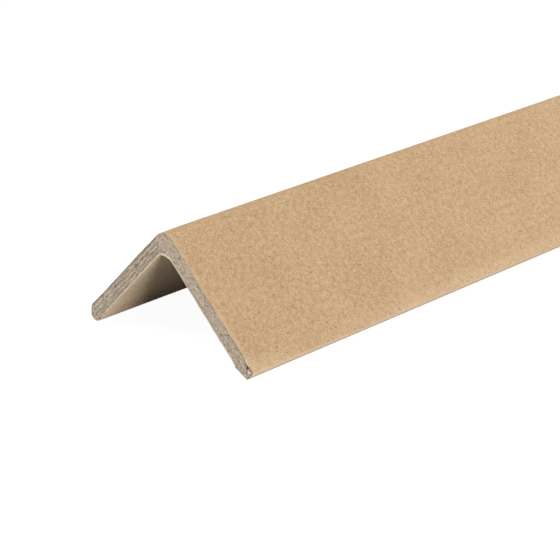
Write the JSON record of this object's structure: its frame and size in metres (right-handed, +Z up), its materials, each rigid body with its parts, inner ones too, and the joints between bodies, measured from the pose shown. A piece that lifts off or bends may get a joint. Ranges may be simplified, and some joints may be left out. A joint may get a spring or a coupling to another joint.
{
  "type": "pallet edge protector",
  "caption": "L-shaped angle board of laminated cardboard that guards the edge of a palletised load against straps and knocks.",
  "frame": {"origin": "on the floor, in the middle of the board's length and of its width across the two legs", "axes": "+Y along the length, from the near cut end to the far one; +Z up, towards the nose of the fold; +X towards the right leg"},
  "size_m": [0.0686, 0.3, 0.0359],
  "materials": {
    "kraft_board": "matte kraft paper over grey-brown plies"
  },
  "bodies": {
    "root": {"angle_board": "kraft_board"}
  },
  "joints": []
}
